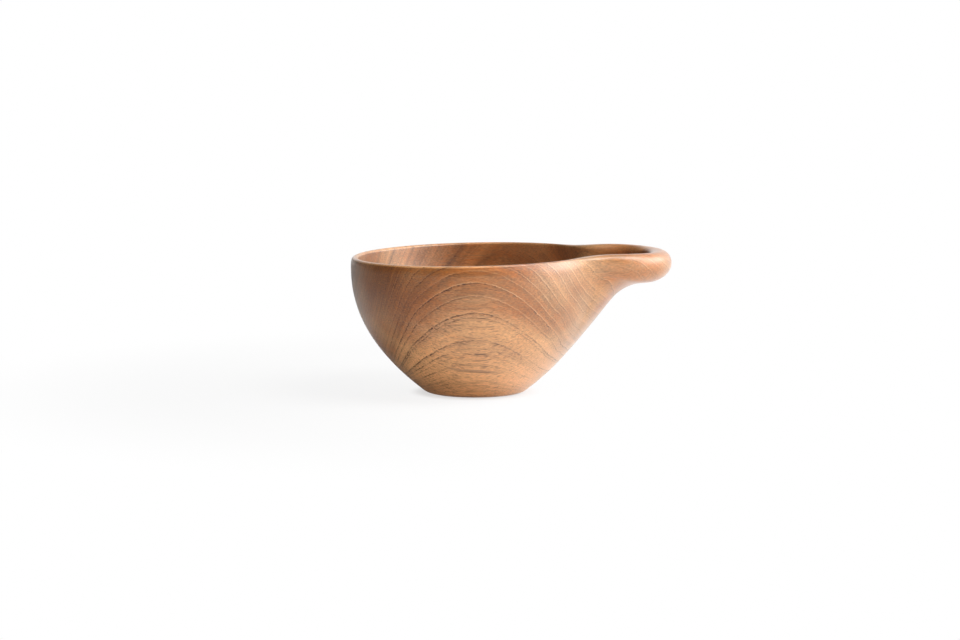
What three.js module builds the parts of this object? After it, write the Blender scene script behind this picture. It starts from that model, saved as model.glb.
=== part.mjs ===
// Serving bowl carved from one block of teak. A round bowl on a small flat foot draws out on one side
// into a broad, hollowed handle, and the rim climbs a little towards it.
// Millimetres, +Z up, +X along the handle. The origin is the centre of the foot, on the bowl's axis.
import * as THREE from "three";

// Outside of the bowl
const BOWL_RADIUS = 108.5; // round bowl, at its widest
const WIDEST_HEIGHT = 112; // where the bowl's side stands upright
const FOOT_RADIUS = 42; // where the side would meet the table if the foot's edge were sharp
const FOOT_ROUND = 5; // how far the rounding of that edge reaches in along the foot and up the side
const SIDE_FULLNESS = 2.25; // 2 makes the side a parabola, more makes it fuller
const RIM_HEIGHT = 121.5; // top of the rim, on the bowl's axis
const RIM_CLIMB = 0.02; // rise of the rim for each millimetre towards the handle
const RIM_TURN_IN = 2.2; // how far the side leans in again from its widest part up to the rim

// Outside of the handle
const HANDLE_REACH = 172; // bowl's axis to the handle's tip
const HANDLE_END_RADIUS = 53; // rounded end, seen from above
const NECK_RADIUS = 70; // hollow curve from the bowl into the handle, seen from above
const NECK_RISE = 1.8; // how much the rim swells upwards between the bowl and the tip
const KEEL_START = 24; // height where the handle's keel leaves the round bowl
const KEEL_SLOPE = 52; // steepness of the keel where it meets the underside, in degrees
const UNDERSIDE_HEIGHT = 97.5; // lowest part of the underside
const UNDERSIDE_REACH = 150.5; // bowl's axis to that lowest part
const UNDERSIDE_RADIUS = 40; // hollow curve from the keel into the underside, seen from the side

// Where the keel's end and the underside fade out on the bowl's side, as shares of the way up to the rim
const KEEL_FADE = 0.72;
const UNDERSIDE_FADE = 0.93;

// Hollow
const FLOOR = 12; // wood under the middle of the hollow
const RIM_WALL = 8; // thickness of the bowl's wall, at its widest
const RIM_FLARE = 2; // how far the hollow leans out on its way up to the rim
const FLARE_START = 86; // height where it begins to lean out
const HANDLE_SIDE_WALL = 12; // thickness of the handle's rim, at its sides
const HANDLE_TIP_WALL = 19; // thickness of the handle's rim, at its tip
const HANDLE_FLOOR = 9.5; // wood between the underside and the trough
const TROUGH_NECK_RADIUS = 36; // curve from the hollow into the trough, seen from above
const TROUGH_SLOPE = 60; // steepness of the hollow where it turns into the trough, in degrees
const TROUGH_END_CLIMB = 10; // length over which the trough's floor climbs to the rim, at the tip
const TROUGH_ROLL = 6; // extra rounding of the rim into the trough, at the trough's sides

// How far the rounding of the rim reaches down, on the bowl and at the handle's tip
const OUTER_ROUND = { bowl: 2, tip: 11 };
const INNER_ROUND = { bowl: 2, tip: 3 };

// Facets
const COLUMNS = 88; // sections round the bowl
const HANDLE_CROWDING = 0.6; // 0 spaces the sections evenly, more crowds them together on the handle
const ROWS = { footRound: 3, side: 6, keel: 5, underside: 5, tip: 5, rim: 7, hollow: 8 };

const { degToRad, lerp } = THREE.MathUtils;
const steps = (count) => Array.from({ length: count }, (_, i) => (i + 1) / count);

// Round bowl: the radius of its side at a height, and how fast that radius grows there
const sideSpread = BOWL_RADIUS - FOOT_RADIUS;

function sideRadius(height) {
  const toGo = Math.max(0, 1 - height / WIDEST_HEIGHT);
  const past = Math.max(0, height - WIDEST_HEIGHT) / (RIM_HEIGHT - WIDEST_HEIGHT);
  return BOWL_RADIUS - sideSpread * toGo ** SIDE_FULLNESS - RIM_TURN_IN * past ** 2;
}

function sideRun(height) {
  const toGo = Math.max(0, 1 - height / WIDEST_HEIGHT);
  return ((sideSpread * SIDE_FULLNESS) / WIDEST_HEIGHT) * toGo ** (SIDE_FULLNESS - 1);
}

// Round hollow: half an ellipsoid that flares towards the rim
const hollowMouth = BOWL_RADIUS - RIM_WALL;
const hollowDepth = WIDEST_HEIGHT - FLOOR;

function hollowPoint(turn) {
  return new THREE.Vector2(hollowMouth * Math.sin(turn), WIDEST_HEIGHT - hollowDepth * Math.cos(turn));
}

function hollowRadius(height) {
  const toGo = Math.max(0, (WIDEST_HEIGHT - height) / hollowDepth);
  const past = Math.max(0, height - FLARE_START) / (RIM_HEIGHT - FLARE_START);
  return hollowMouth * Math.sqrt(Math.max(0, 1 - toGo ** 2)) + RIM_FLARE * past ** 2;
}

// Plan outline of a rim: the bowl's circle, the handle's end circle and a hollow arc that touches both.
// The function that it returns tells how far the outline has left the bowl's circle in a direction,
// from 0 on the bowl to 1 at the handle's tip.
function handleShare(bowlRadius, reach, endRadius, neckRadius) {
  const end = new THREE.Vector2(reach - endRadius, 0);
  const bowlToNeck = bowlRadius + neckRadius;
  const endToNeck = endRadius + neckRadius;
  const neckX = (bowlToNeck ** 2 - endToNeck ** 2 + end.x ** 2) / (2 * end.x);
  const neck = new THREE.Vector2(neckX, Math.sqrt(bowlToNeck ** 2 - neckX ** 2));
  const neckMeetsEnd = end.clone().lerp(neck, endRadius / endToNeck);

  // Distance along a ray to a circle, to its far side or its near side
  function rayToCircle(angle, centre, radius, side) {
    const along = centre.x * Math.cos(angle) + centre.y * Math.sin(angle);
    const across = centre.y * Math.cos(angle) - centre.x * Math.sin(angle);
    return along + side * Math.sqrt(radius ** 2 - across ** 2);
  }
  const FAR = 1;
  const NEAR = -1;

  return (angle) => {
    const turn = Math.abs(Math.atan2(Math.sin(angle), Math.cos(angle)));
    if (turn >= neck.angle()) return 0;
    const distance =
      turn <= neckMeetsEnd.angle()
        ? rayToCircle(turn, end, endRadius, FAR)
        : rayToCircle(turn, neck, neckRadius, NEAR);
    return (distance - bowlRadius) / (reach - bowlRadius);
  };
}

const troughReach = HANDLE_REACH - HANDLE_TIP_WALL;
const troughEndRadius = HANDLE_END_RADIUS - HANDLE_SIDE_WALL;
const outerShare = handleShare(BOWL_RADIUS, HANDLE_REACH, HANDLE_END_RADIUS, NECK_RADIUS);
const innerShare = handleShare(hollowMouth, troughReach, troughEndRadius, TROUGH_NECK_RADIUS);

// Keel, seen from the side: a slightly bowed line that leaves the round bowl along its side and ends
// where the underside's curve begins. The trough's keel starts where the hollow has the same slope.
const keelStart = new THREE.Vector2(sideRadius(KEEL_START), KEEL_START);
const startDirection = new THREE.Vector2(sideRun(KEEL_START), 1).normalize();
const troughKeelTurn = Math.atan2(hollowMouth * startDirection.y, hollowDepth * startDirection.x);

function bowedKeel(start, end, endDirection) {
  const chord = end.clone().sub(start);
  const toCorner = Math.max(0, chord.cross(endDirection)) / startDirection.cross(endDirection);
  const corner = start.clone().addScaledVector(startDirection, toCorner);
  return new THREE.QuadraticBezierCurve(start, corner, end);
}

// A station is one level of a wall: its place on the handle, and how far up the bowl's side it fades out.
// From the underside or the trough's floor up to the rim, climb goes from 0 to 1.
function handleStations({ start, slope, radius, floor, flatReach, reach }) {
  const centre = new THREE.Vector2(flatReach, floor - radius);
  const endTurn = Math.PI / 2 + degToRad(slope);
  const keelEnd = centre.clone().add(new THREE.Vector2(radius, 0).rotateAround(new THREE.Vector2(), endTurn));
  const endDirection = new THREE.Vector2(1, 0).rotateAround(new THREE.Vector2(), degToRad(slope));
  const keelCurve = bowedKeel(start, keelEnd, endDirection);
  const keel = steps(ROWS.keel).map((share) => {
    const { x, y } = keelCurve.getPoint(share);
    return { along: x, height: y, climb: 0, fade: lerp(0, KEEL_FADE, share) };
  });
  const underside = steps(ROWS.underside).map((share) => {
    const turn = lerp(endTurn, Math.PI / 2, share);
    const along = centre.x + radius * Math.cos(turn);
    const height = centre.y + radius * Math.sin(turn);
    return { along, height, climb: 0, fade: lerp(KEEL_FADE, UNDERSIDE_FADE, share) };
  });
  const tip = steps(ROWS.tip).map((share) => {
    const turn = (share * Math.PI) / 2;
    const along = lerp(flatReach, reach, Math.sin(turn));
    return { along, height: floor, climb: 1 - Math.cos(turn), fade: lerp(UNDERSIDE_FADE, 1, share) };
  });
  return [...keel, ...underside, ...tip];
}

const footRoundTop = FOOT_ROUND / Math.hypot(1, sideRun(0));
const footRound = new THREE.QuadraticBezierCurve(
  new THREE.Vector2(FOOT_RADIUS - FOOT_ROUND, 0),
  new THREE.Vector2(FOOT_RADIUS, 0),
  new THREE.Vector2(sideRadius(footRoundTop), footRoundTop),
).getPoints(ROWS.footRound);

const side = steps(ROWS.side).map((share) => {
  const height = lerp(footRoundTop, KEEL_START, share);
  return new THREE.Vector2(sideRadius(height), height);
});
const hollow = steps(ROWS.hollow).map((share) => hollowPoint(share * troughKeelTurn));
const troughStart = hollow.at(-1);

const outerStations = handleStations({
  start: keelStart,
  slope: KEEL_SLOPE,
  radius: UNDERSIDE_RADIUS,
  floor: UNDERSIDE_HEIGHT,
  flatReach: UNDERSIDE_REACH,
  reach: HANDLE_REACH,
});
const innerStations = handleStations({
  start: troughStart,
  slope: TROUGH_SLOPE,
  radius: UNDERSIDE_RADIUS + HANDLE_FLOOR,
  floor: UNDERSIDE_HEIGHT + HANDLE_FLOOR,
  flatReach: troughReach - TROUGH_END_CLIMB,
  reach: troughReach,
});

// One upright section of the wood: from the foot's edge out and up, over the rim, and down to the
// floor of the hollow. Above the keel's start each wall lies between the round bowl and the handle.
function section(angle) {
  const outer = outerShare(angle);
  const inner = innerShare(angle);
  const rimReach = lerp(BOWL_RADIUS, HANDLE_REACH, outer) * Math.cos(angle);
  const rimTop = RIM_HEIGHT + RIM_CLIMB * rimReach + NECK_RISE * Math.sin(Math.PI * outer);
  const outerDrop = lerp(OUTER_ROUND.bowl, OUTER_ROUND.tip, outer);
  const innerRoll = TROUGH_ROLL * Math.sin(Math.PI * inner);
  const innerDrop = lerp(INNER_ROUND.bowl, INNER_ROUND.tip, inner) + innerRoll;

  const wall = (stations, bowlRadius, start, top, share) =>
    stations.map(({ along, height, climb, fade }) => {
      const bowlHeight = lerp(start, top, fade);
      const onBowl = new THREE.Vector2(bowlRadius(bowlHeight), bowlHeight);
      const onHandle = new THREE.Vector2(along, lerp(height, top, climb));
      return onBowl.lerp(onHandle, share);
    });
  const outerWall = wall(outerStations, sideRadius, KEEL_START, rimTop - outerDrop, outer);
  const innerWall = wall(innerStations, hollowRadius, troughStart.y, rimTop - innerDrop, inner);

  const outerEdge = outerWall.at(-1).x;
  const innerEdge = innerWall.at(-1).x;
  const rim = steps(ROWS.rim)
    .slice(0, -1)
    .map((share) => {
      const turn = share * Math.PI;
      const drop = Math.cos(turn) > 0 ? outerDrop : innerDrop;
      const radius = lerp(innerEdge, outerEdge, (1 + Math.cos(turn)) / 2);
      return new THREE.Vector2(radius, rimTop - drop * (1 - Math.sin(turn)));
    });

  const outside = [...footRound, ...side, ...outerWall];
  const inside = [...hollow, ...innerWall];
  return [...outside, ...rim, ...inside.reverse()].map(
    ({ x, y }) => new THREE.Vector3(x * Math.cos(angle), x * Math.sin(angle), y),
  );
}

// The carved block: sections side by side, closed by the foot below and the hollow's floor above.
// Its facets are split the other way on the second half, so that the two sides mirror each other.
function carvedBlock() {
  const sections = Array.from({ length: COLUMNS }, (_, column) => {
    const turn = (2 * Math.PI * column) / COLUMNS;
    return section(turn - HANDLE_CROWDING * Math.sin(turn));
  });
  const rows = sections[0].length;
  const footCentre = COLUMNS * rows;
  const floorCentre = footCentre + 1;
  const points = [...sections.flat(), new THREE.Vector3(0, 0, 0), new THREE.Vector3(0, 0, FLOOR)];

  const faces = [];
  for (let column = 0; column < COLUMNS; column += 1) {
    const here = column * rows;
    const next = ((column + 1) % COLUMNS) * rows;
    faces.push(footCentre, next, here);
    faces.push(floorCentre, here + rows - 1, next + rows - 1);
    for (let row = 0; row < rows - 1; row += 1) {
      const [a, b, c, d] = [here + row, next + row, next + row + 1, here + row + 1];
      if (column < COLUMNS / 2) faces.push(a, b, c, a, c, d);
      else faces.push(a, b, d, b, c, d);
    }
  }

  const geometry = new THREE.BufferGeometry().setFromPoints(points);
  geometry.setIndex(faces);
  geometry.computeVertexNormals();
  return geometry;
}

const oiledTeak = new THREE.MeshStandardMaterial({ color: 0xb98458, roughness: 0.5, metalness: 0 });

const bowl = new THREE.Mesh(carvedBlock(), oiledTeak);
bowl.name = "bowl";

const servingBowl = new THREE.Group();
servingBowl.add(bowl);

export default servingBowl;
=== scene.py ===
import math

import bpy
import numpy as np
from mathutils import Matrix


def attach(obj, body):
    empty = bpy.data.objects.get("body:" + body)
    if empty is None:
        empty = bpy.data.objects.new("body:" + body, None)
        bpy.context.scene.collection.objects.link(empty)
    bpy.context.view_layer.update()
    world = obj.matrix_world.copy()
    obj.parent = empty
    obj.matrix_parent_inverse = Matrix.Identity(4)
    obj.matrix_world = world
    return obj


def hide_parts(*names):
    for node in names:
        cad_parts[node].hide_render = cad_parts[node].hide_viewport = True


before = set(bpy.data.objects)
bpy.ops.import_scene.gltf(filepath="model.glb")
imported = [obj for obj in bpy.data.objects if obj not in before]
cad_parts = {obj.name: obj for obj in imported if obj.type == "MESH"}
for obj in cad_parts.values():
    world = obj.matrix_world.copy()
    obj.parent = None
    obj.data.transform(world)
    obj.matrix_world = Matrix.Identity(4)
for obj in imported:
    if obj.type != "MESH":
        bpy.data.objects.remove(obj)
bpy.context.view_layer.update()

# Bowl: one block of teak, turned to a round bowl on a small flat foot, with a broad hollowed handle carved
# out of the same block along +X. It is sanded by hand and oiled, so no edge is sharp. Sizes of the bowl and
# of its grain are in millimetres, and the form is that of the solid that it stands for.
BOWL_RADIUS = 108.5
WIDEST_HEIGHT = 112
FOOT_RADIUS = 42
FOOT_ROUND = 5
SIDE_FULLNESS = 2.25
RIM_HEIGHT = 121.5
RIM_CLIMB = 0.02
RIM_TURN_IN = 2.2
RIM_WALL = 8
RIM_FLARE = 2
FLARE_START = 86
FLOOR_WOOD = 12
HANDLE_REACH = 172
HANDLE_END_RADIUS = 53
HANDLE_SIDE_WALL = 12
HANDLE_TIP_WALL = 19
TROUGH_END_CLIMB = 10
TROUGH_SLOPE = math.radians(60)
HANDLE_FLOOR_WOOD = 9.5
NECK_RADIUS = 70
TROUGH_NECK_RADIUS = 36
NECK_RISE = 1.8
KEEL_START = 24
KEEL_SLOPE = math.radians(52)
KEEL_FADE = 0.72
UNDERSIDE_HEIGHT = 97.5
UNDERSIDE_REACH = 150.5
UNDERSIDE_RADIUS = 40
UNDERSIDE_FADE = 0.93
OUTER_ROUND = (2, 11)
INNER_ROUND = (2, 3)
TROUGH_ROLL = 6
COLUMNS = 288
HANDLE_CROWDING = 0.6
FOOT_ROWS = 9
SIDE_ROWS = 16
STATION_ROWS = 20
RIM_ROWS = 24
HOLLOW_ROWS = 28
SANDING_PASSES = 4

trough_reach = HANDLE_REACH - HANDLE_TIP_WALL
hollow_mouth = BOWL_RADIUS - RIM_WALL
hollow_depth = WIDEST_HEIGHT - FLOOR_WOOD
side_spread = BOWL_RADIUS - FOOT_RADIUS


def steps(count):
    return np.arange(1, count + 1) / count


def between(start, end, share):
    return start + (end - start) * share


def side_radius(height):
    to_go = np.maximum(0, 1 - height / WIDEST_HEIGHT)
    past = np.maximum(0, height - WIDEST_HEIGHT) / (RIM_HEIGHT - WIDEST_HEIGHT)
    return BOWL_RADIUS - side_spread * to_go**SIDE_FULLNESS - RIM_TURN_IN * past**2


def side_run(height):
    to_go = max(0, 1 - height / WIDEST_HEIGHT)
    return side_spread * SIDE_FULLNESS / WIDEST_HEIGHT * to_go ** (SIDE_FULLNESS - 1)


def hollow_radius(height):
    to_go = np.maximum(0, (WIDEST_HEIGHT - height) / hollow_depth)
    past = np.maximum(0, height - FLARE_START) / (RIM_HEIGHT - FLARE_START)
    return hollow_mouth * np.sqrt(np.maximum(0, 1 - to_go**2)) + RIM_FLARE * past**2


def circle_along_ray(turn, centre, radius, side):
    along = centre[0] * np.cos(turn) + centre[1] * np.sin(turn)
    across = centre[1] * np.cos(turn) - centre[0] * np.sin(turn)
    return along + side * np.sqrt(np.maximum(0, radius**2 - across**2))


# The rim's outline from above is the bowl's circle, the handle's rounded end, and a hollow arc that touches
# both. The share says how far a direction's rim lies from the circle, at 0, towards the handle's tip, at 1.
def handle_share(turn, bowl, reach, end, neck):
    turn = np.abs(np.arctan2(np.sin(turn), np.cos(turn)))
    end_x = reach - end
    neck_x = ((bowl + neck) ** 2 - (end + neck) ** 2 + end_x**2) / (2 * end_x)
    neck_y = math.sqrt((bowl + neck) ** 2 - neck_x**2)
    to_neck = end / (end + neck)
    meeting = math.atan2(neck_y * to_neck, between(end_x, neck_x, to_neck))
    end_rim = circle_along_ray(turn, (end_x, 0), end, 1)
    neck_rim = circle_along_ray(turn, (neck_x, neck_y), neck, -1)
    rim = np.where(turn <= meeting, end_rim, neck_rim)
    return np.where(turn >= math.atan2(neck_y, neck_x), 0, (rim - bowl) / (reach - bowl))


# Lengthwise line of the handle: a bowed keel, the hollow underside and the climb to the tip. Each station
# has its place, its climb towards the rim, and how far up the bowl's side it fades out.
keel_direction = np.array([side_run(KEEL_START), 1]) / math.hypot(side_run(KEEL_START), 1)


def handle_stations(start, keel_slope, radius, floor, flat_reach, reach):
    end_turn = math.pi / 2 + keel_slope
    centre = np.array([flat_reach, UNDERSIDE_HEIGHT - UNDERSIDE_RADIUS])
    keel_end = centre + radius * np.array([math.cos(end_turn), math.sin(end_turn)])
    slope = np.array([math.cos(keel_slope), math.sin(keel_slope)])
    chord = keel_end - start
    turning = keel_direction[0] * slope[1] - keel_direction[1] * slope[0]
    corner = start + keel_direction * max(0, chord[0] * slope[1] - chord[1] * slope[0]) / turning
    share = steps(STATION_ROWS)
    bow = share[:, None]
    keel = between(between(start, corner, bow), between(corner, keel_end, bow), bow)
    turn = between(end_turn, math.pi / 2, share)
    underside = centre + radius * np.stack([np.cos(turn), np.sin(turn)], 1)
    tip_turn = share * math.pi / 2
    tip = np.stack([between(flat_reach, reach, np.sin(tip_turn)), np.full(STATION_ROWS, floor)], 1)
    climb = np.concatenate([np.zeros(2 * STATION_ROWS), 1 - np.cos(tip_turn)])
    fades = [(0, KEEL_FADE), (KEEL_FADE, UNDERSIDE_FADE), (UNDERSIDE_FADE, 1)]
    fade = np.concatenate([between(low, high, share) for low, high in fades])
    return np.concatenate([keel, underside, tip]), climb, fade


def wall(stations, bowl_radius, start, top, share):
    place, climb, fade = (part[:, None] for part in stations)
    bowl_height = between(start, top, fade)
    handle_height = between(place[..., 1], top, climb)
    radius = between(bowl_radius(bowl_height), place[..., 0], share)
    return np.stack([radius, between(bowl_height, handle_height, share)], -1)


# Sections round the bowl, crowded on the handle. Each runs from the foot up the outside, over the rim and
# down to the middle of the hollow.
turn = np.arange(COLUMNS) / COLUMNS * 2 * math.pi
angle = turn - HANDLE_CROWDING * np.sin(turn)
outer = handle_share(angle, BOWL_RADIUS, HANDLE_REACH, HANDLE_END_RADIUS, NECK_RADIUS)
inner = handle_share(
    angle, hollow_mouth, trough_reach, HANDLE_END_RADIUS - HANDLE_SIDE_WALL, TROUGH_NECK_RADIUS)
rim_reach = between(BOWL_RADIUS, HANDLE_REACH, outer) * np.cos(angle)
rim_top = RIM_HEIGHT + RIM_CLIMB * rim_reach + NECK_RISE * np.sin(math.pi * outer)
outer_drop = between(*OUTER_ROUND, outer)
inner_drop = between(*INNER_ROUND, inner) + TROUGH_ROLL * np.sin(math.pi * inner)

foot_round_top = FOOT_ROUND / math.hypot(1, side_run(0))
foot_share = np.linspace(0, 1, FOOT_ROWS)[:, None]
foot_edge = np.array([FOOT_RADIUS, 0])
foot_start = np.array([FOOT_RADIUS - FOOT_ROUND, 0])
foot_end = np.array([side_radius(foot_round_top), foot_round_top])
foot = between(
    between(foot_start, foot_edge, foot_share), between(foot_edge, foot_end, foot_share), foot_share)
side_height = between(foot_round_top, KEEL_START, steps(SIDE_ROWS))
side = np.stack([side_radius(side_height), side_height], 1)
hollow_turn = math.atan2(hollow_mouth * keel_direction[1], hollow_depth * keel_direction[0])
hollow_bow = steps(HOLLOW_ROWS) * hollow_turn
hollow = np.stack([hollow_mouth * np.sin(hollow_bow), WIDEST_HEIGHT - hollow_depth * np.cos(hollow_bow)], 1)
outer_stations = handle_stations(
    side[-1], KEEL_SLOPE, UNDERSIDE_RADIUS, UNDERSIDE_HEIGHT, UNDERSIDE_REACH, HANDLE_REACH)
inner_stations = handle_stations(
    hollow[-1], TROUGH_SLOPE, UNDERSIDE_RADIUS + HANDLE_FLOOR_WOOD, UNDERSIDE_HEIGHT + HANDLE_FLOOR_WOOD,
    trough_reach - TROUGH_END_CLIMB, trough_reach)
outer_wall = wall(outer_stations, side_radius, KEEL_START, rim_top - outer_drop, outer)
inner_wall = wall(inner_stations, hollow_radius, hollow[-1, 1], rim_top - inner_drop, inner)

rim_turn = steps(RIM_ROWS)[:-1, None] * math.pi
rim_radius = between(inner_wall[-1, :, 0], outer_wall[-1, :, 0], (1 + np.cos(rim_turn)) / 2)
rim_drop = np.where(np.cos(rim_turn) > 0, outer_drop, inner_drop)
rim = np.stack([rim_radius, rim_top - rim_drop * (1 - np.sin(rim_turn))], -1)


def all_round(profile):
    return np.repeat(profile[:, None], COLUMNS, 1)


section = np.concatenate([
    all_round(foot), all_round(side), outer_wall, rim, inner_wall[::-1], all_round(hollow[::-1])])
first = FOOT_ROWS + 1
for sanding in range(SANDING_PASSES):
    section[first:-2] = (section[first - 1:-3] + 2 * section[first:-2] + section[first + 1:-1]) / 4

MILLIMETRE = 0.001
points = np.stack([section[..., 0] * np.cos(angle), section[..., 0] * np.sin(angle), section[..., 1]], -1)
rows = len(points)
vertices = [*points.reshape(-1, 3), (0, 0, 0), (0, 0, FLOOR_WOOD)]
foot_centre = rows * COLUMNS
hollow_centre = foot_centre + 1
faces = []
for column in range(COLUMNS):
    beside = (column + 1) % COLUMNS
    for row in range(rows - 1):
        low = row * COLUMNS
        high = low + COLUMNS
        faces.append((low + column, low + beside, high + beside, high + column))
    last = (rows - 1) * COLUMNS
    faces.append((foot_centre, beside, column))
    faces.append((last + column, last + beside, hollow_centre))
bowl_mesh = bpy.data.meshes.new("bowl_block")
bowl_mesh.from_pydata([tuple(MILLIMETRE * part for part in point) for point in vertices], [], faces)
bowl_mesh.polygons.foreach_set("use_smooth", [True] * len(bowl_mesh.polygons))
bowl_mesh.update()
bowl = bpy.data.objects.new("bowl_block", bowl_mesh)
bpy.context.scene.collection.objects.link(bowl)


class Tone:
    """A value that changes over a surface: a node's socket, with arithmetic that adds Math nodes."""

    def __init__(self, tree, socket=None):
        self.tree = tree
        self.socket = socket

    def node(self, kind, settings, sockets, output=0):
        made = self.tree.nodes.new(kind)
        for name, value in settings.items():
            if name == "points":
                curve = made.mapping.curves[0]
                for spot in value[1:-1]:
                    curve.points.new(*spot)
                curve.points[0].location = value[0]
                curve.points[-1].location = value[-1]
                for point in curve.points:
                    point.handle_type = "VECTOR"
                made.mapping.update()
            else:
                setattr(made, name, value)
        for name, value in sockets.items():
            if isinstance(value, Tone):
                self.tree.links.new(value.socket, made.inputs[name])
            else:
                made.inputs[name].default_value = value
        return Tone(self.tree, made.outputs[output] if made.outputs else None)

    def math(self, operation, *values):
        return self.node("ShaderNodeMath", {"operation": operation}, dict(enumerate(values)))

    def __add__(self, other):
        return self.math("ADD", self, other)

    def __sub__(self, other):
        return self.math("SUBTRACT", self, other)

    def __rsub__(self, other):
        return self.math("SUBTRACT", other, self)

    def __mul__(self, other):
        return self.math("MULTIPLY", self, other)

    def __truediv__(self, other):
        return self.math("DIVIDE", self, other)

    def __rtruediv__(self, other):
        return self.math("DIVIDE", other, self)

    def __pow__(self, other):
        return self.math("POWER", self, other)

    __radd__ = __add__
    __rmul__ = __mul__

    def size(self):
        """This value without its sign."""
        return self.math("ABSOLUTE", self)

    def rise(self, low, high):
        """0 up to low, 1 from high on, and a soft step between."""
        settings = {"interpolation_type": "SMOOTHSTEP"}
        return self.node("ShaderNodeMapRange", settings, {0: self, 1: low, 2: high, 3: 0.0, 4: 1.0})

    def from_least(self, least):
        """This share, squeezed to run from a least value up to 1."""
        return least + self * (1 - least)

    def parts(self):
        """The parts of this vector along x, y and z."""
        return [self.node("ShaderNodeSeparateXYZ", {}, {0: self}, part) for part in range(3)]

    def stretched(self, *lengths):
        """This place in the wood, in units of the given lengths."""
        shares = tuple(1 / length for length in lengths)
        return self.node("ShaderNodeVectorMath", {"operation": "MULTIPLY"}, {0: self, 1: shares})

    def cloud(self, detail=2.0, roughness=0.5):
        """Soft noise from about -0.5 to 0.5 at this place."""
        sockets = {"Vector": self, "Scale": 1.0, "Detail": detail, "Roughness": roughness}
        return self.node("ShaderNodeTexNoise", {}, sockets) - 0.5

    def scaled(self, share):
        """This vector or colour, times a share."""
        return self.node("ShaderNodeVectorMath", {"operation": "SCALE"}, {0: self, 3: share})

    def tinted(self, share, colour):
        """This colour, changed towards another by a share."""
        settings = {"data_type": "RGBA"}
        return self.node("ShaderNodeMix", settings, {0: share, 6: self, 7: colour}, 2)


def linear(red, green, blue):
    """A colour as it looks on screen, 0 to 255, in the values that a shader takes."""
    shares = [part / 255 for part in (red, green, blue)]
    return (*[s / 12.92 if s <= 0.04045 else ((s + 0.055) / 1.055) ** 2.4 for s in shares], 1)


# Teak: the log lay along the handle, with its heart above the bowl, so its yearly rings cut the front in
# arches. At the left end they bend steep, and at the back they lean. Each ring ends in a thin pale ridge and
# opens with a dark broken line of wide pores. Fine fibre runs all through, and the rim's top has a painted
# highlight.
HONEY_TEAK = linear(207, 154, 104)
RED_TEAK = linear(182, 106, 46)
RIDGE_CREAM = linear(230, 186, 138)
RING_BROWN = linear(80, 46, 28)
PORE_BROWN = linear(92, 56, 34)
PITH_HEIGHT = 157
EARLY_GAP = 5.5
EARLY_STRENGTHS = [0.4, 0.6, 0.3, 0.5] * 5
LATE_RINGS = [
    (110, 0.5), (114.7, 0.4), (119.1, 0.9), (123.6, 0.6), (129.1, 1), (130.4, 0.7), (137.6, 0.9),
    (140.3, 0.6), (142.3, 0.4), (145.5, 0.6), (146.8, 0.3), (148.8, 0.3), (151, 0.5), (152.8, 0.4),
    (154.8, 0.4), (157, 0.4), (161, 0.4), (166, 0.4)]

teak = bpy.data.materials.new("teak")
teak.use_nodes = True
teak.node_tree.nodes.clear()
wood = Tone(teak.node_tree)
at = wood.node("ShaderNodeTexCoord", {}, {}, "Object").scaled(1 / MILLIMETRE)
along, across, height = at.parts()
facing_along, facing_across, facing_up = wood.node("ShaderNodeTexCoord", {}, {}, "Normal").parts()

# How far a place lies from the heart of the log. The rings wander a little, but not in the middle of the
# front. From the bend on, to the left, they curve away from the handle's line.
WANDERING = (10, 80)
LONG_WANDER = (150, 60, 60)
LONG_WANDER_DEPTH = 5
SHORT_WANDER = (40, 14, 14)
SHORT_WANDER_DEPTH = 2.4
RAGGED_EDGE = (5, 1.5, 1.5)
RAGGED_DEPTH = 0.8
BACK_HALF = (-20, 80)
BACK_LEAN = 0.3
BEND_START = -48
RING_BEND = 0.016

long_wander = at.stretched(*LONG_WANDER).cloud() * LONG_WANDER_DEPTH
short_wander = at.stretched(*SHORT_WANDER).cloud() * SHORT_WANDER_DEPTH
wander = (long_wander + short_wander) * along.size().rise(*WANDERING)
ragged = at.stretched(*RAGGED_EDGE).cloud() * RAGGED_DEPTH
drop = PITH_HEIGHT - height
from_pith = (across * across + drop * drop) ** 0.5
left_of_bend = along.math("MAXIMUM", BEND_START - along, 0)
to_back = across.rise(*BACK_HALF)
bend = RING_BEND * (1 - to_back)
bend_slope = left_of_bend * bend * 2 + to_back * BACK_LEAN
bent = left_of_bend * left_of_bend * bend
distance = from_pith + wander + ragged - bent + along * to_back * BACK_LEAN

# The rings near the heart are evenly spaced, and each of the outer ones has its own distance and strength.
early_count = len(EARLY_STRENGTHS)
late_count = len(LATE_RINGS) - 1
late_start = LATE_RINGS[0][0]
late_span = LATE_RINGS[-1][0] - late_start
ring_points = [
    ((ring - late_start) / late_span, number / late_count) for number, (ring, power) in enumerate(LATE_RINGS)]
strengths = EARLY_STRENGTHS + [power for ring, power in LATE_RINGS]
last_year = len(strengths) - 1
strength_points = [(number / last_year, power) for number, power in enumerate(strengths)]


def years_at(place):
    """The log's age, in years, at a distance from its heart."""
    early = place.math("MINIMUM", place / EARLY_GAP, early_count)
    late = place.math("MAXIMUM", (place - late_start) / late_span, 0)
    return early + wood.node("ShaderNodeFloatCurve", {"points": ring_points}, {1: late}) * late_count


def strength_of(number):
    """How clearly a year's ring shows."""
    return wood.node("ShaderNodeFloatCurve", {"points": strength_points}, {1: number / last_year})


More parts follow.
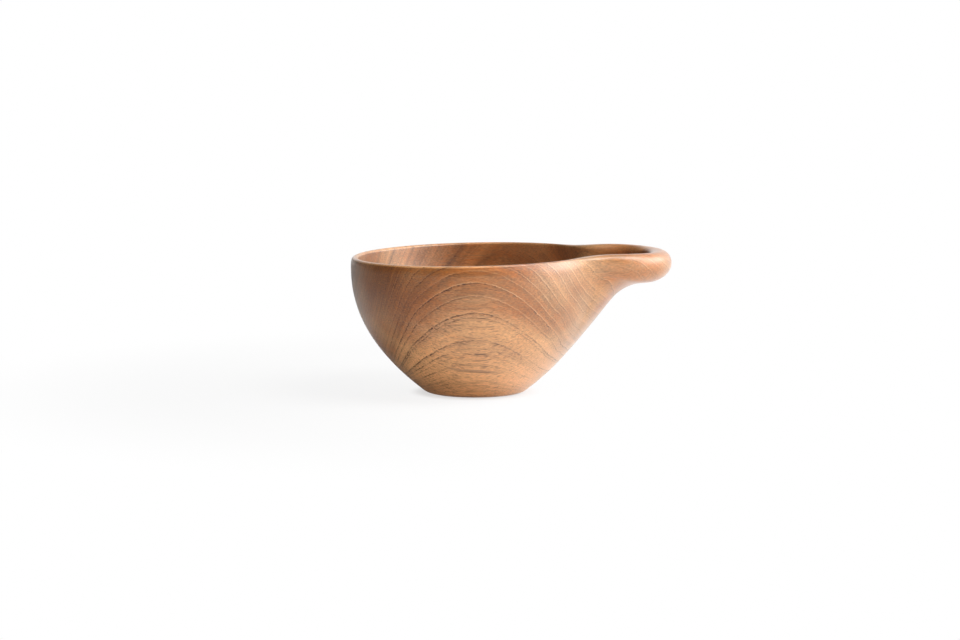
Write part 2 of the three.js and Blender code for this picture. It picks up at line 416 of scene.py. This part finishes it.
# A ring meets the surface at a slant, so depths below its edge are stretched to lengths along the surface.
RING_PROBE = 0.25
LEAST_SLANT = 0.03
years = years_at(distance)
year = years.math("FLOOR", years)
ring_width = 2 * RING_PROBE / (years_at(distance + RING_PROBE) - years_at(distance - RING_PROBE))
outwards = (facing_across * across - facing_up * drop) / from_pith
straight_in = outwards + bend_slope * facing_along
steepness = 1 + bend_slope * bend_slope - straight_in * straight_in
slant = steepness.math("MAXIMUM", steepness, LEAST_SLANT) ** 0.5
since_ring = (years - year) * ring_width / slant
until_ring = (1 - years + year) * ring_width / slant

# Lines, ridges and pores. Marks are given by their lengths in the wood, and by the step in soft noise that
# leaves them: a higher step leaves fewer. The lines are boldest at the left, and the ridges by the handle.
RING_PATCHES = ((34, 12, 12), -0.2, 0.2)
LINE_DASHES = ((5, 1.1, 1.1), -0.06, 0.06)
BAND_PORES = ((6, 0.9, 0.9), 0.04, 0.14)
SHORT_PORES = ((7, 0.9, 0.9), 0.08, 0.17)
LONG_PORES = ((16, 1.4, 1.4), 0.1, 0.18)
OUTER_WOOD = (112, 138)
NECK_START = (35, 65)
NECK_END = (95, 120)
LINE_SIDES = (-60, 40)
STEEP_LINES = (12, 40)
RIDGE_SIDES = (-70, 20)
RIDGE_HEIGHTS = (60, 95)
PORE_SIDES = (0, 70)
RING_LINE_WIDTH = (0.6, 1.7)
PORE_BAND_WIDTH = (1, 8)
RIDGE_WIDTH = (0.3, 1.2)
BACK_LOSS = 0.6
LEFT_LINES = 1.9
HANDLE_LINE_LOSS = 1.25
NECK_LINE_GAIN = 0.3
STEEP_LINE_LOSS = 0.4
NECK_RIDGE_GAIN = 0.5
HANDLE_PORE_LOSS = 0.6
SHORT_PORE_SHARES = (0.3, 0.8)
LONG_PORE_SHARES = (0.2, 0.9)
LEAST_PATCH = 0.4
LEAST_DASH = 0.15
LEFT_RIDGE = 0.25
LOW_RIDGE = 0.35


def scattered(lengths, low, high):
    return at.stretched(*lengths).cloud(1.0).rise(low, high)


outer_wood = distance.rise(*OUTER_WOOD)
# The neck between bowl and handle: its lines and ridges are bolder, and its paler honey colour is painted
# light.
neck_grain_and_painted_light = along.rise(*NECK_START) * (1 - along.rise(*NECK_END))
faint_back = 1 - to_back * BACK_LOSS
patch = scattered(*RING_PATCHES).from_least(LEAST_PATCH)
line_side = LEFT_LINES - along.rise(*LINE_SIDES) * HANDLE_LINE_LOSS + neck_grain_and_painted_light * NECK_LINE_GAIN
open_side = line_side * faint_back * (1 - left_of_bend.rise(*STEEP_LINES) * STEEP_LINE_LOSS)
short_pores = scattered(*SHORT_PORES) * between(*SHORT_PORE_SHARES, outer_wood)
long_pores = scattered(*LONG_PORES) * between(*LONG_PORE_SHARES, outer_wood)
stray_pores = (short_pores + long_pores) * (1 - along.rise(*PORE_SIDES) * HANDLE_PORE_LOSS)
dashes = scattered(*LINE_DASHES).from_least(LEAST_DASH)
ring_line = (1 - since_ring.rise(*RING_LINE_WIDTH)) * strength_of(year) * patch * open_side * dashes
pore_band = (1 - since_ring.rise(*PORE_BAND_WIDTH)) * strength_of(year) * patch * scattered(*BAND_PORES)
ridge_side = along.rise(*RIDGE_SIDES).from_least(LEFT_RIDGE)
every_ridge = (1 - until_ring.rise(*RIDGE_WIDTH)) * strength_of(year + 1) * patch * ridge_side
ridge_height = height.rise(*RIDGE_HEIGHTS).from_least(LOW_RIDGE)
ridge = every_ridge * (1 + neck_grain_and_painted_light * NECK_RIDGE_GAIN) * faint_back * ridge_height

# Fibre, and soft stripes beside the rings. The broad ones are stronger at the back.
FIBRE = (45, 1.5, 1.5)
FINE_FIBRE = (12, 0.9, 0.9)
SPECKLE = (2.4, 0.9, 0.9)
DRIFT = (200, 24, 24)
FINE_STRIPES = (1.5, 45, 2.0, 0.6)
BROAD_STRIPES = (6, 90, 1.0)
BROAD_STRIPE_SHARES = (0.5, 1.4)
FAR_BACK = (20, 80)
FINE_STRIPE_SHARE = 0.5
FIBRE_SHARE = 0.7
FINE_FIBRE_SHARE = 0.5
SPECKLE_SHARE = 0.4


def stripes(width, length, detail, roughness=0.5):
    sockets = {0: distance / width, 1: along / length, 2: across / length}
    return wood.node("ShaderNodeCombineXYZ", {}, sockets).cloud(detail, roughness)


fibre = at.stretched(*FIBRE).cloud(2.0, 0.6)
fine_fibre = at.stretched(*FINE_FIBRE).cloud(1.0)
speckle = at.stretched(*SPECKLE).cloud(0.0)
drift = at.stretched(*DRIFT).cloud(2.0)
broad_stripes = stripes(*BROAD_STRIPES) * between(*BROAD_STRIPE_SHARES, across.rise(*FAR_BACK))
all_stripes = broad_stripes + stripes(*FINE_STRIPES) * FINE_STRIPE_SHARE
grain = all_stripes + fibre * FIBRE_SHARE + fine_fibre * FINE_FIBRE_SHARE + speckle * SPECKLE_SHARE

# Colour: redder on the front, where it is also darker as painted shade, and honey in the outer wood. A
# highlight is painted pale and honey along the rim's top, and painted light makes the neck honey. The upper
# part of the bent end carries painted shade, and end grain is darker. The ridges, lines and pores tint it.
RIM_HIGHLIGHT_SLOPE = (0.2, 0.6)
RIM_HIGHLIGHT_HEIGHT = (96, 102)
RIM_HIGHLIGHT_SIDES = (0, 60)
RED_SIDES = (-100, -40)
PAINTED_SHADE_END = (0, 35)
PAINTED_SHADE_HEIGHT = (55, 95)
END_GRAIN = (0.5, 1)
RED_SHARE = 0.3
HONEY_SHARE = 0.3
PLAIN_WARMTH = 0.5
OUTER_COOLING = 0.6
DRIFT_WARMTH = 1.2
FIBRE_WARMTH = 0.8
PLAIN_SHADE = 0.86
FRONT_PAINTED_SHADE = 0.5
OUTER_LIGHTENING = 0.28
RIM_HIGHLIGHT_LIGHTENING = 0.5
LEFT_END_PAINTED_SHADE = 0.3
END_GRAIN_LOSS = 0.16
RIDGE_TINT = 0.5
LINE_TINT = 0.85
PORE_BAND_TINT = 0.55
STRAY_PORE_TINT = 0.5

# Painted highlight: the rim's upward-facing top is made paler and more honey, fading out towards the handle.
painted_rim_highlight = facing_up.rise(*RIM_HIGHLIGHT_SLOPE) * height.rise(*RIM_HIGHLIGHT_HEIGHT) * (1 - along.rise(*RIM_HIGHLIGHT_SIDES))
# The front half is made redder, and darker as painted shade.
red_front_and_painted_shade = (1 - across.rise(*RED_SIDES)) * (1 - painted_rim_highlight) * RED_SHARE
# Painted light: the neck and the rim's top are turned towards honey.
painted_light_honey = neck_grain_and_painted_light * HONEY_SHARE + painted_rim_highlight * HONEY_SHARE
warmth_with_painted_light = PLAIN_WARMTH + red_front_and_painted_shade - outer_wood * OUTER_COOLING - painted_light_honey
warmth = (warmth_with_painted_light + drift * DRIFT_WARMTH + fibre * FIBRE_WARMTH).rise(0, 1)
# Painted shade: the upper front of the bent left end is made darker.
painted_shade_left_end = left_of_bend.rise(*PAINTED_SHADE_END) * height.rise(*PAINTED_SHADE_HEIGHT) * (1 - to_back) * LEFT_END_PAINTED_SHADE
darker = PLAIN_SHADE - red_front_and_painted_shade * FRONT_PAINTED_SHADE - painted_shade_left_end
plain = darker + outer_wood * OUTER_LIGHTENING + painted_rim_highlight * RIM_HIGHLIGHT_LIGHTENING
shade = (plain + grain) * (1 - facing_along.size().rise(*END_GRAIN) * END_GRAIN_LOSS)
plain_wood = wood.node("ShaderNodeMix", {"data_type": "RGBA"}, {0: warmth, 6: HONEY_TEAK, 7: RED_TEAK}, 2)
ridged_wood = plain_wood.scaled(shade).tinted(ridge * RIDGE_TINT, RIDGE_CREAM)
ringed_wood = ridged_wood.tinted(ring_line * LINE_TINT, RING_BROWN)
pore_tint = pore_band * PORE_BAND_TINT + stray_pores * STRAY_PORE_TINT
pored_wood = ringed_wood.tinted(pore_tint, PORE_BROWN)

# A grey mineral streak with a brown lower edge lies low on the front, and a short brown dash above it.
STREAK_GREY = linear(124, 96, 80)
STREAK_BROWN = linear(100, 66, 46)
STREAK_HEIGHT = 28.2
STREAK_HALF = 1.1
STREAK_FALL = 0.07
STREAK_ENDS = (-25, -19, 6, 30)
EDGE_HEIGHT = STREAK_HEIGHT - 1.3
EDGE_HALF = 0.8
EDGE_ENDS = (-14, -8, 8, 30)
DASH_HEIGHT = 44.3
DASH_HALF = 1
DASH_ENDS = (-2, 1, 8, 13)
FRONT_ONLY = (-20, -10)
STREAK_WAVER = 2
STREAK_CORE = 0.4
STREAK_TINT = 0.6
EDGE_TINT = 0.7
DASH_TINT = 0.8


def thin_line(middle, half, ends):
    """A thin line on the front, along the grain, that fades out at both ends."""
    span = along.rise(*ends[:2]) * (1 - along.rise(*ends[2:])) * (1 - across.rise(*FRONT_ONLY))
    away = height - middle + along * STREAK_FALL + fibre * STREAK_WAVER
    return (1 - away.size().rise(half * STREAK_CORE, half)) * span


streak = thin_line(STREAK_HEIGHT, STREAK_HALF, STREAK_ENDS)
streak_edge = thin_line(EDGE_HEIGHT, EDGE_HALF, EDGE_ENDS)
short_dash = thin_line(DASH_HEIGHT, DASH_HALF, DASH_ENDS)
streaked_wood = pored_wood.tinted(streak * STREAK_TINT, STREAK_GREY)
colour = streaked_wood.tinted(streak_edge * EDGE_TINT + short_dash * DASH_TINT, STREAK_BROWN)

# The finish is a satin coat of oil. Fibre and ridges stand up a little in it, and lines and pores lie deeper.
PLAIN_ROUGHNESS = 0.42
LINE_ROUGHNESS = 0.2
FIBRE_ROUGHNESS = 0.1
FIBRE_RELIEF = 0.3
RIDGE_RELIEF = 0.6
PORE_BAND_DEPTH = 0.6
LINE_DEPTH = 0.9
STRAY_PORE_DEPTH = 0.5
RELIEF_DEPTH = 0.3
raised = fibre * FIBRE_RELIEF + ridge * RIDGE_RELIEF
grain_height = raised - pore_band * PORE_BAND_DEPTH - ring_line * LINE_DEPTH - stray_pores * STRAY_PORE_DEPTH
relief_sockets = {"Strength": 0.7, "Distance": RELIEF_DEPTH * MILLIMETRE, "Height": grain_height}
relief = wood.node("ShaderNodeBump", {}, relief_sockets)
surface = wood.node("ShaderNodeBsdfPrincipled", {}, {
    "Base Color": colour,
    "Roughness": PLAIN_ROUGHNESS + ring_line * LINE_ROUGHNESS + fibre * FIBRE_ROUGHNESS,
    "Specular IOR Level": 0.5,
    "Coat Weight": 1.0,
    "Coat Roughness": 0.36,
    "Sheen Weight": 0.3,
    "Sheen Roughness": 0.3,
    "Normal": relief,
})
wood.node("ShaderNodeOutputMaterial", {}, {"Surface": surface})
bowl_mesh.materials.append(teak)
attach(bowl, "root")
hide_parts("bowl")

# Floor: a broad pale sheet that the bowl stands on. It looks white, and keeps a soft trace of the bowl's
# shadow at the left and under the foot. What the bowl mirrors of it is white at the right and far behind.
# From here on, places and sizes are in metres.
FLOOR_HALF = 6
SHADOW_SHARE = 0.11
SHADOW_REACH = (0.25, 0.5)
SHADOW_SIDES = (-0.05, 0.1)
CONTACT_SHARE = 0.25
CONTACT_REACH = (0.043, 0.06)
WHITE_RIGHT = (0, 0.14)
WHITE_BEHIND = (1, 2)
WHITE = (1, 1, 1, 1)
SHEET_WHITE = (0.95, 0.95, 0.95, 1)
SHEET_GREY = (0.75, 0.75, 0.75, 1)
floor_mesh = bpy.data.meshes.new("floor")
floor_corners = [(-FLOOR_HALF, -FLOOR_HALF, 0), (FLOOR_HALF, -FLOOR_HALF, 0)]
floor_corners += [(FLOOR_HALF, FLOOR_HALF, 0), (-FLOOR_HALF, FLOOR_HALF, 0)]
floor_mesh.from_pydata(floor_corners, [], [(0, 1, 2, 3)])
floor = bpy.data.objects.new("floor", floor_mesh)
bpy.context.scene.collection.objects.link(floor)

sheet = bpy.data.materials.new("pale_sheet")
sheet.use_nodes = True
sheet.node_tree.nodes.clear()
paper = Tone(sheet.node_tree)


def camera_ray(tone):
    return tone.node("ShaderNodeLightPath", {}, {}, "Is Camera Ray")


def mirrored_ray(tone):
    """1 for a ray that was mirrored or passed through something, 0 for light that spreads."""
    mirrored = tone.node("ShaderNodeLightPath", {}, {}, "Is Glossy Ray")
    through = tone.node("ShaderNodeLightPath", {}, {}, "Is Transmission Ray")
    return mirrored.math("MAXIMUM", mirrored, through)


def mixed(share, first_look, second_look):
    return share.node("ShaderNodeMixShader", {}, {0: share, 1: first_look, 2: second_look})


spot = paper.node("ShaderNodeTexCoord", {}, {}, "Object")
from_foot = paper.node("ShaderNodeVectorMath", {"operation": "LENGTH"}, {0: spot}, 1)
to_right, to_far = spot.parts()[:2]
shaded = (1 - from_foot.rise(*SHADOW_REACH)) * (1 - to_right.rise(*SHADOW_SIDES))
under_foot = 1 - from_foot.rise(*CONTACT_REACH)
shadow_share = shaded * SHADOW_SHARE + under_foot * CONTACT_SHARE
white_floor = to_right.math("MAXIMUM", to_right.rise(*WHITE_RIGHT), to_far.rise(*WHITE_BEHIND))
matt = paper.node("ShaderNodeBsdfDiffuse", {}, {"Color": SHEET_WHITE})
dull = paper.node("ShaderNodeBsdfDiffuse", {}, {"Color": SHEET_GREY})
glow = paper.node("ShaderNodeEmission", {}, {"Color": WHITE, "Strength": 1.0})
seen = mixed(camera_ray(paper) * (1 - shadow_share), matt, glow)
sheet_look = mixed(mirrored_ray(paper), seen, mixed(white_floor, dull, glow))
paper.node("ShaderNodeOutputMaterial", {}, {"Surface": sheet_look})
floor_mesh.materials.append(sheet)

# Light: a broad soft lamp like a window at the right, two higher ones at the right of the camera, and three
# without gloss: low in front at the left, low at the right, and behind at the right. A pale screen at the
# right only shows as gloss. The room is dim, but it looks white, and the bowl mirrors white at the right and
# behind.
ROOM_LIGHT = 0.02
ROOM_RIGHT = (0.2, 0.7)
ROOM_BEHIND = (0.5, 0.9)
BEHIND_TURN = 0.5
room = bpy.data.worlds.new("room")
room.use_nodes = True
room.node_tree.nodes.clear()
air = Tone(room.node_tree)
rightwards, backwards = air.node("ShaderNodeTexCoord", {}, {}, "Generated").parts()[:2]
behind = (backwards + rightwards * BEHIND_TURN).rise(*ROOM_BEHIND)
white_room = rightwards.math("MAXIMUM", rightwards.rise(*ROOM_RIGHT), behind)
white_share = camera_ray(air).math("MAXIMUM", camera_ray(air), mirrored_ray(air) * white_room)
dim = air.node("ShaderNodeBackground", {}, {"Color": WHITE, "Strength": ROOM_LIGHT})
white = air.node("ShaderNodeBackground", {}, {"Color": WHITE, "Strength": 1.0})
air.node("ShaderNodeOutputWorld", {}, {"Surface": mixed(white_share, dim, white)})
bpy.context.scene.world = room


def soft_lamp(name, place, width, depth, watts, lights=True, gloss=True):
    """A lamp that faces the foot. It may light only what is matt, or show only as gloss."""
    lamp_data = bpy.data.lights.new(name, "AREA")
    lamp_data.shape = "RECTANGLE"
    lamp_data.size = width
    lamp_data.size_y = depth
    lamp_data.energy = watts
    lamp = bpy.data.objects.new(name, lamp_data)
    lamp.location = place
    lamp.visible_diffuse = lights
    lamp.visible_glossy = gloss
    lamp.rotation_euler = (-lamp.location).to_track_quat("-Z", "Y").to_euler()
    bpy.context.scene.collection.objects.link(lamp)


soft_lamp("window", (1.23, 0.11, 0.66), 1.1, 0.6, 9.5)
soft_lamp("side_lamp", (0.9, -0.42, 0.99), 0.7, 0.7, 2.5)
soft_lamp("high_lamp", (0.6, -0.36, 1.15), 0.8, 0.8, 11.5)
soft_lamp("low_lamp", (-0.7, -1.2, 0.08), 0.8, 0.12, 6.8, gloss=False)
soft_lamp("low_side_lamp", (1.05, -0.55, 0.08), 1.0, 0.12, 4, gloss=False)
soft_lamp("back_lamp", (0.95, 0.95, 0.5), 0.8, 0.4, 8, gloss=False)
soft_lamp("screen", (1.34, -0.24, 0.31), 1.0, 0.62, 6, lights=False)

# Camera: far in front and a little above the rim, looking slightly down through a long lens, so that the far
# rim just shows over the near one.
CAMERA_DISTANCE = 3.1535
CAMERA_PITCH = math.radians(6.78)
LOOKS_AT = (0.00438, 0, 0.06325)
LENS = 135
SENSOR = 36
camera_data = bpy.data.cameras.new("camera")
camera_data.lens = LENS
camera_data.sensor_width = SENSOR
camera = bpy.data.objects.new("camera", camera_data)
back = CAMERA_DISTANCE * math.cos(CAMERA_PITCH)
up = CAMERA_DISTANCE * math.sin(CAMERA_PITCH)
camera.location = (LOOKS_AT[0], LOOKS_AT[1] - back, LOOKS_AT[2] + up)
camera.rotation_euler = (math.pi / 2 - CAMERA_PITCH, 0, 0)
bpy.context.scene.collection.objects.link(camera)
bpy.context.scene.camera = camera
bpy.context.scene.view_settings.view_transform = "Standard"

bpy.context.view_layer.update()
